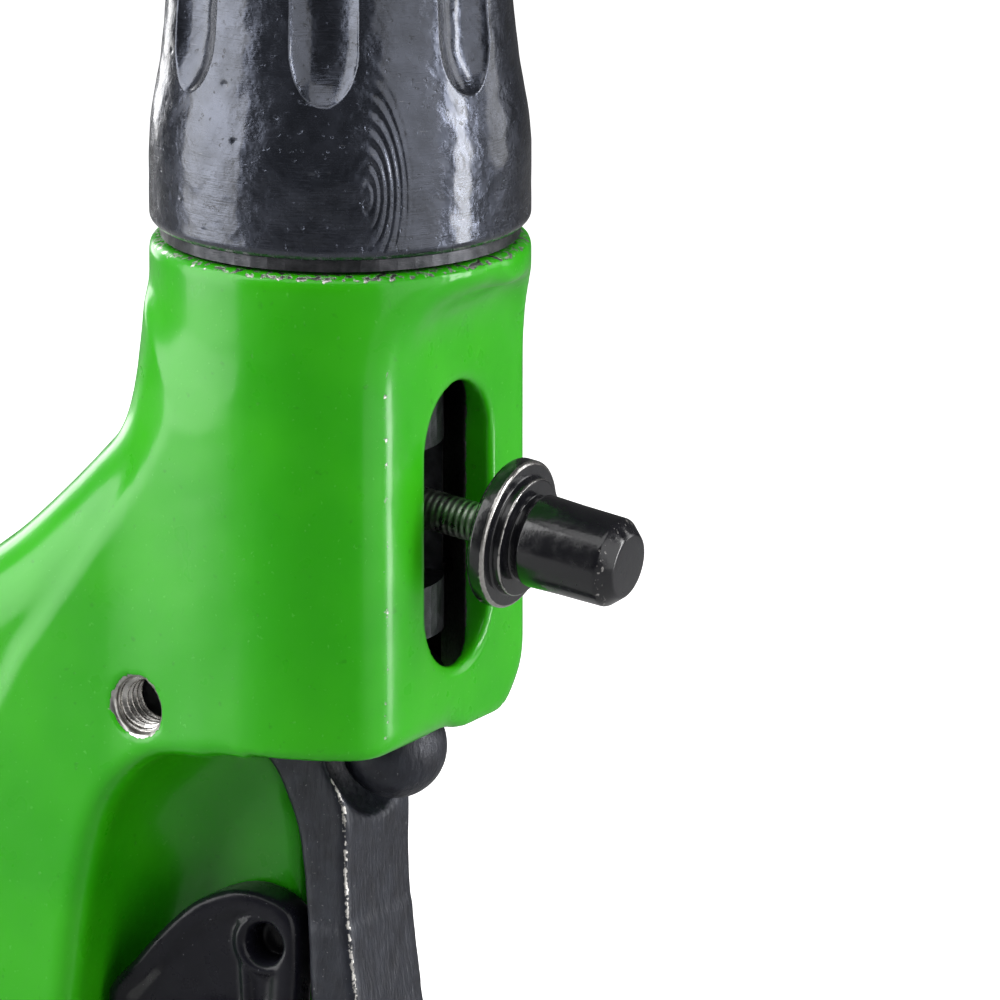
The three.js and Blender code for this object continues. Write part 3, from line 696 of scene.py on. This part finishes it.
# ---------------------------------------------------------------- materials
class Shader:
    """A Principled material built from procedural layers in object coordinates (metres)."""

    def __init__(self, name, **sockets):
        self.material = bpy.data.materials.new(name)
        self.material.use_nodes = True
        self.tree = self.material.node_tree
        self.bsdf = self.tree.nodes["Principled BSDF"]
        for key, value in sockets.items():
            self.bsdf.inputs[key.replace("_", " ")].default_value = value
        self.coords = self.add("ShaderNodeTexCoord").outputs["Object"]
        self.normal = None

    def add(self, kind, **settings):
        node = self.tree.nodes.new(kind)
        for key, value in settings.items():
            setattr(node, key, value)
        return node

    def put(self, socket, value):
        if isinstance(value, bpy.types.NodeSocket):
            self.tree.links.new(value, socket)
        else:
            socket.default_value = value

    def stretched(self, stretch):
        if stretch == (1, 1, 1):
            return self.coords
        node = self.add("ShaderNodeVectorMath", operation="MULTIPLY")
        self.put(node.inputs[0], self.coords)
        node.inputs[1].default_value = stretch
        return node.outputs[0]

    def noise(self, size, detail=3.0, stretch=(1, 1, 1), distortion=0.0):
        """Noise from about 0.25 to 0.75 with features about size millimetres across."""
        node = self.add("ShaderNodeTexNoise")
        self.put(node.inputs["Vector"], self.stretched(stretch))
        node.inputs["Scale"].default_value = 1 / (size * MM)
        node.inputs["Detail"].default_value = detail
        node.inputs["Distortion"].default_value = distortion
        return node.outputs["Fac"]

    def cells(self, size, stretch=(1, 1, 1)):
        node = self.add("ShaderNodeTexVoronoi")
        self.put(node.inputs["Vector"], self.stretched(stretch))
        node.inputs["Scale"].default_value = 1 / (size * MM)
        return node.outputs["Distance"]

    def attribute(self, name):
        return self.add("ShaderNodeAttribute", attribute_name=name).outputs["Fac"]

    def span(self, value, low, high, to_low=0.0, to_high=1.0):
        node = self.add("ShaderNodeMapRange")
        self.put(node.inputs["Value"], value)
        limits = (low, high, to_low, to_high)
        for key, limit in zip(("From Min", "From Max", "To Min", "To Max"), limits):
            node.inputs[key].default_value = limit
        return node.outputs["Result"]

    def maths(self, operation, a, b):
        node = self.add("ShaderNodeMath", operation=operation)
        self.put(node.inputs[0], a)
        self.put(node.inputs[1], b)
        return node.outputs[0]

    def mix(self, factor, a, b):
        node = self.add("ShaderNodeMix", data_type="RGBA")
        self.put(node.inputs["Factor"], factor)
        self.put(node.inputs[6], a if isinstance(a, bpy.types.NodeSocket) else (*a, 1))
        self.put(node.inputs[7], b if isinstance(b, bpy.types.NodeSocket) else (*b, 1))
        return node.outputs[2]

    def bump(self, height, depth):
        """Adds relief that is depth millimetres from the lowest to the highest value of height."""
        node = self.add("ShaderNodeBump")
        node.inputs["Distance"].default_value = depth * MM
        node.inputs["Strength"].default_value = 1.0
        self.put(node.inputs["Height"], height)
        if self.normal is not None:
            self.put(node.inputs["Normal"], self.normal)
        self.normal = node.outputs["Normal"]

    def finish(self, colour, roughness, metallic=None):
        self.put(self.bsdf.inputs["Base Color"], colour)
        self.put(self.bsdf.inputs["Roughness"], roughness)
        if metallic is not None:
            self.put(self.bsdf.inputs["Metallic"], metallic)
        if self.normal is not None:
            self.put(self.bsdf.inputs["Normal"], self.normal)
        return self.material

    def worn(self, size=0.5):
        """Where the finish is gone: a mask from the piece's bare attribute, broken up by noise."""
        broken = self.maths("MULTIPLY", self.noise(size, 4), 0.9)
        total = self.maths("ADD", self.attribute("bare"), broken)
        return self.span(total, 0.92, 1.0)


def green_paint():
    s = Shader(
        "green_paint_enamel", Specular_IOR_Level=0.2, Coat_Weight=0.45, Coat_Roughness=0.15, Coat_IOR=1.5,
    )
    worn = s.worn(0.6)
    tone = s.mix(s.span(s.noise(9, 2), 0.35, 0.65), (0.024, 0.38, 0.002), (0.034, 0.43, 0.0035))
    speck = s.span(s.noise(0.45, 2), 0.69, 0.74)
    tone = s.mix(s.maths("MULTIPLY", speck, 0.35), tone, (0.12, 0.6, 0.07))
    dirt = s.maths("MULTIPLY", s.span(s.noise(0.9, 4), 0.66, 0.74), 0.4)
    tone = s.mix(dirt, tone, (0.012, 0.2, 0.002))
    metal = s.mix(s.noise(0.3, 3), (0.32, 0.31, 0.29), (0.75, 0.74, 0.72))
    colour = s.mix(worn, tone, metal)
    paint_roughness = s.span(s.noise(3, 3), 0.3, 0.7, 0.26, 0.4)
    s.bump(s.noise(3.4, 2), 0.05)
    s.bump(s.noise(0.8, 2), 0.012)
    s.bump(speck, 0.01)
    s.bump(worn, -0.06)
    return s.finish(colour, paint_roughness, worn)


def black_casting():
    s = Shader("black_casting_painted", Specular_IOR_Level=0.6, Coat_Weight=0.55, Coat_Roughness=0.12)
    tone = s.mix(s.span(s.noise(2.4, 4), 0.35, 0.65), (0.038, 0.043, 0.058), (0.062, 0.069, 0.092))
    scratch = s.span(s.noise(1.1, 2, (0.7, 0.7, 12), 0.3), 0.71, 0.76)
    colour = s.mix(s.maths("MULTIPLY", scratch, 0.5), tone, (0.2, 0.2, 0.22))
    roughness = s.span(s.noise(1.3, 4), 0.3, 0.7, 0.2, 0.32)
    s.bump(s.noise(1.7, 2), 0.12)
    s.bump(s.noise(0.45, 2), 0.035)
    s.bump(s.noise(0.9, 3, (0.5, 0.5, 7)), 0.03)
    pit = s.span(s.noise(0.7, 2), 0.27, 0.33)
    s.bump(pit, 0.05)
    return s.finish(colour, roughness, 0.8)


def forged_black():
    s = Shader("forged_black_scale", Specular_IOR_Level=0.5, Coat_Weight=0.1, Coat_Roughness=0.3)
    worn = s.worn(0.35)
    tone = s.mix(s.span(s.noise(1.8, 4), 0.3, 0.7), (0.009, 0.01, 0.016), (0.022, 0.025, 0.036))
    fleck = s.span(s.noise(0.32, 3), 0.69, 0.75)
    tone = s.mix(s.maths("MULTIPLY", fleck, 0.4), tone, (0.3, 0.3, 0.31))
    colour = s.mix(worn, tone, (0.62, 0.6, 0.57))
    roughness = s.span(s.noise(1, 4), 0.3, 0.7, 0.34, 0.56)
    geometry = s.add("ShaderNodeNewGeometry")
    parts = s.add("ShaderNodeSeparateXYZ")
    s.put(parts.inputs[0], geometry.outputs["True Normal"])
    facing = s.span(s.maths("ABSOLUTE", parts.outputs["Y"], 0.0), 0.5, 0.9, 1.0, 0.22)
    grain = s.maths("MULTIPLY", s.noise(0.55, 4, (1, 1, 0.32)), facing)
    s.bump(grain, 0.16)
    s.bump(s.noise(0.28, 3), 0.02)
    return s.finish(colour, roughness, s.span(worn, 0, 1, 0.3, 1))


def black_enamel():
    s = Shader("black_enamel_gloss", Specular_IOR_Level=0.5, Coat_Weight=0.3, Coat_Roughness=0.07)
    worn = s.worn(0.4)
    tone = s.mix(s.noise(1.6, 3), (0.004, 0.004, 0.006), (0.012, 0.012, 0.015))
    metal = s.mix(s.noise(0.25, 3), (0.2, 0.19, 0.18), (0.7, 0.68, 0.66))
    colour = s.mix(worn, tone, metal)
    s.bump(s.noise(1.1, 3), 0.022)
    s.bump(s.noise(0.25, 3), 0.012)
    return s.finish(colour, s.span(s.noise(0.9, 3), 0.3, 0.7, 0.12, 0.28), s.span(worn, 0, 1, 0.0, 0.9))


def metal(name, dark, light, smooth, rough, grain=0.02, size=0.5, stretch=(1, 1, 8)):
    s = Shader(name)
    colour = s.mix(s.span(s.noise(size * 3, 4), 0.3, 0.7), dark, light)
    stain = s.span(s.noise(size * 7, 3), 0.6, 0.72)
    colour = s.mix(s.maths("MULTIPLY", stain, 0.3), colour, tuple(0.5 * c for c in dark))
    s.bump(s.noise(size, 3, stretch), grain)
    s.bump(s.noise(size * 0.4, 2), grain * 0.5)
    return s.finish(colour, s.span(s.noise(size * 2, 3), 0.3, 0.7, smooth, rough), 1.0)


def gloss_plastic():
    s = Shader("gloss_plastic_moulded", Specular_IOR_Level=0.22, Coat_Weight=0.12, Coat_Roughness=0.12)
    colour = s.mix(s.noise(2.5, 3), (0.004, 0.004, 0.007), (0.012, 0.012, 0.018))
    dust = s.span(s.noise(0.35, 2), 0.72, 0.76)
    colour = s.mix(s.maths("MULTIPLY", dust, 0.35), colour, (0.25, 0.25, 0.27))
    s.bump(s.noise(2.2, 2), 0.03)
    s.bump(s.noise(0.35, 3), 0.006)
    return s.finish(colour, s.span(s.noise(1.5, 3), 0.3, 0.7, 0.24, 0.38))


def grip_rubber():
    s = Shader("grip_rubber_matt", Specular_IOR_Level=0.4, Sheen_Weight=0.12, Sheen_Roughness=0.5)
    colour = s.mix(s.noise(2, 4), (0.012, 0.012, 0.014), (0.028, 0.028, 0.031))
    dust = s.span(s.noise(6, 5), 0.55, 0.75)
    colour = s.mix(s.maths("MULTIPLY", dust, 0.25), colour, (0.07, 0.07, 0.072))
    s.bump(s.cells(0.55), 0.05)
    s.bump(s.noise(0.25, 3), 0.02)
    return s.finish(colour, s.span(s.noise(1.4, 3), 0.3, 0.7, 0.5, 0.72))


def paint(piece, material):
    piece.data.materials.clear()
    piece.data.materials.append(material)


# ---------------------------------------------------------------- pieces and their finishes
bright = metal("bright_steel_turned", (0.36, 0.36, 0.35), (0.62, 0.62, 0.6), 0.24, 0.4)
dark = metal("dark_steel_oiled", (0.04, 0.042, 0.046), (0.11, 0.11, 0.12), 0.28, 0.45, 0.03)
hard = metal("hard_steel_ground", (0.2, 0.2, 0.21), (0.36, 0.36, 0.37), 0.26, 0.42, 0.012)
wire = metal("spring_steel_wire", (0.25, 0.25, 0.26), (0.42, 0.42, 0.43), 0.22, 0.36, 0.01)
plastic = gloss_plastic()
rubber = grip_rubber()

paint(cast_body(), green_paint())
thread = metal("bright_steel_cut", (0.4, 0.39, 0.37), (0.8, 0.78, 0.75), 0.16, 0.32, 0.03, 0.3, (1, 1, 1))
paint(tapped_hole(), thread)
paint(forged_lever(), forged_black())
paint(handle_insert("moulded_insert_near", -1, "handle_insert_near"), plastic)
paint(handle_insert("moulded_insert_far", 1, "handle_insert_far"), plastic)
paint(
    grip("handle_sleeve_grip", HANDLE_GRIP, HANDLE_GRIP_HALF, HANDLE_CORE, CORE_HALF, "body", "handle_grip"),
    rubber,
)
paint(
    grip("lever_sleeve_grip", LEVER_GRIP, LEVER_GRIP_HALF, LEVER_LINE, LEVER_HALF, "lever", "lever_grip"),
    rubber,
)
paint(nose_sleeve(), black_casting())
paint(pin_knob(), black_enamel())
paint(pin_stem(), bright)

FINISHES = {"bright_steel": bright, "dark_steel": dark, "hard_steel": hard, "spring_steel": wire}
for part in frame["record"]["subparts"]:
    node = frame["nodes"][part["node"]]
    if part["material_slot"] in FINISHES and not node.hide_render:
        paint(node, FINISHES[part["material_slot"]])
        edge = node.modifiers.new("edge", "BEVEL")
        edge.width = 0.12 * MM
        edge.segments = 2
        edge.limit_method = "ANGLE"
        edge.angle_limit = math.radians(40)
        edge.harden_normals = True


# ---------------------------------------------------------------- floor, light and camera
FLOOR_HALF = 4.0
FLOOR_ALBEDO = 0.38
WORLD_LIGHT = 0.07


def floor():
    mesh = bpy.data.meshes.new("floor")
    corners = [(i * FLOOR_HALF, j * FLOOR_HALF, 0) for i, j in ((-1, -1), (1, -1), (1, 1), (-1, 1))]
    mesh.from_pydata(corners, [], [(0, 1, 2, 3)])
    piece = bpy.data.objects.new("floor", mesh)
    bpy.context.scene.collection.objects.link(piece)
    s = Shader("floor_paper")
    sight = s.add("ShaderNodeLightPath").outputs["Is Camera Ray"]
    colour = s.mix(s.noise(40, 3), (0.86, 0.86, 0.86), (0.9, 0.9, 0.9))
    s.bsdf.inputs["Emission Color"].default_value = (1, 1, 1, 1)
    s.put(s.bsdf.inputs["Emission Strength"], s.span(sight, 0, 1, 0.0, 1.0))
    piece.data.materials.append(s.finish(s.mix(sight, (FLOOR_ALBEDO,) * 3, colour), 0.9))


def softbox(name, azimuth, elevation, distance, size, radiance):
    """A rectangular light that faces the head. Azimuth 0 is in front (-Y) and 90 is at +X."""
    a, e = math.radians(azimuth), math.radians(elevation)
    back = Vector((math.sin(a) * math.cos(e), -math.cos(a) * math.cos(e), math.sin(e)))
    light = bpy.data.lights.new(name, "AREA")
    light.shape = "RECTANGLE"
    light.size, light.size_y = size
    light.energy = radiance * math.pi * size[0] * size[1]
    lamp = bpy.data.objects.new(name, light)
    lamp.location = AIM + back * distance
    lamp.rotation_mode = "QUATERNION"
    lamp.rotation_quaternion = back.to_track_quat("Z", "Y")
    lamp.visible_camera = False
    bpy.context.scene.collection.objects.link(lamp)


AIM = HEAD + Vector((0, 0, -21.2)) * MM
floor()
softbox("key_left", -56, 20, 0.62, (0.56, 0.9), 4.2)
softbox("side_right", 74, 8, 0.6, (0.42, 0.7), 1.5)
softbox("strip_right", 108, 4, 0.56, (0.11, 0.7), 14.0)
softbox("fill_front", 24, 60, 0.8, (0.8, 0.5), 1.7)
softbox("rim_back_right", 140, 12, 0.7, (0.2, 0.5), 2.5)
softbox("rim_back_left", -120, 12, 0.7, (0.22, 0.5), 4.0)
world = bpy.data.worlds.new("studio")
world.use_nodes = True
background = world.node_tree.nodes["Background"]
background.inputs["Color"].default_value = (1, 1, 1, 1)
backdrop_sight = world.node_tree.nodes.new("ShaderNodeLightPath").outputs["Is Camera Ray"]
backdrop = world.node_tree.nodes.new("ShaderNodeMapRange")
backdrop.inputs["To Min"].default_value = WORLD_LIGHT
backdrop.inputs["To Max"].default_value = 1.0
world.node_tree.links.new(backdrop_sight, backdrop.inputs["Value"])
world.node_tree.links.new(backdrop.outputs["Result"], background.inputs["Strength"])
bpy.context.scene.world = world
bpy.context.scene.view_settings.view_transform = "Standard"

AZIMUTH, ELEVATION = math.radians(29), math.radians(14.3)
TARGET = HEAD + Vector((15.37, 0, -21.2)) * MM
DISTANCE = 1.2
LENS = 514
SENSOR = 36
camera = bpy.data.cameras.new("camera")
camera.lens = LENS
camera.sensor_width = SENSOR
camera.clip_start = 0.05
eye = bpy.data.objects.new("camera", camera)
towards = Vector((
    math.sin(AZIMUTH) * math.cos(ELEVATION), -math.cos(AZIMUTH) * math.cos(ELEVATION), math.sin(ELEVATION),
))
eye.location = TARGET + towards * DISTANCE
eye.rotation_mode = "QUATERNION"
eye.rotation_quaternion = towards.to_track_quat("Z", "Y")
bpy.context.scene.collection.objects.link(eye)
bpy.context.scene.camera = eye
